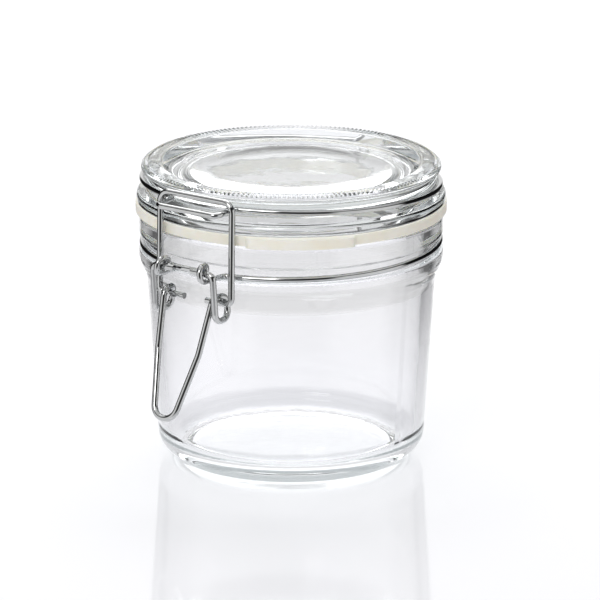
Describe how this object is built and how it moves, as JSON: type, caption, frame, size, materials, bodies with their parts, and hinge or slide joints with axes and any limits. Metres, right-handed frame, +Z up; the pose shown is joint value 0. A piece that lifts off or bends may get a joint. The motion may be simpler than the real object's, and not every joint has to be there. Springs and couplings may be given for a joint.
{
  "type": "clip-top glass jar",
  "caption": "Clear glass preserving jar with a hinged glass lid, rubber sealing ring and sprung wire clasp.",
  "frame": {"origin": "centre of the foot, on the plane the jar stands on", "axes": "+Z up along the jar's axis, clasp towards -Y, rear hinge towards +Y, all hinge axes along X"},
  "size_m": [0.096, 0.1181, 0.0931],
  "materials": {
    "glass": "clear pressed soda-lime glass",
    "wire": "bright drawn stainless steel wire",
    "rubber_ring": "matt cream rubber"
  },
  "bodies": {
    "jar": {"jar_glass": "glass", "neck_wire": "wire"},
    "lid": {"lid_glass": "glass", "lid_wire": "wire", "gasket": "rubber_ring"},
    "lever": {"lever_wire": "wire"},
    "bail": {"bail_wire": "wire"}
  },
  "joints": [
    {"name": "lid_hinge", "type": "hinge", "parent": "jar", "child": "lid", "pos_m": [0, 0.05, 0.0688], "axis": [-1, 0, 0], "range_deg": [0, 115]},
    {"name": "lever_pivot", "type": "hinge", "parent": "jar", "child": "lever", "pos_m": [0, -0.0545, 0.0698], "axis": [-1, 0, 0], "range_deg": [0, 90]},
    {"name": "bail_pivot", "type": "hinge", "parent": "lever", "child": "bail", "pos_m": [0, -0.0483, 0.0596], "axis": [-1, 0, 0], "range_deg": [-150, 0]}
  ],
  "couplings": [
    {"joint": "bail_pivot", "follows": "lever_pivot", "ratio": -1.65}
  ]
}
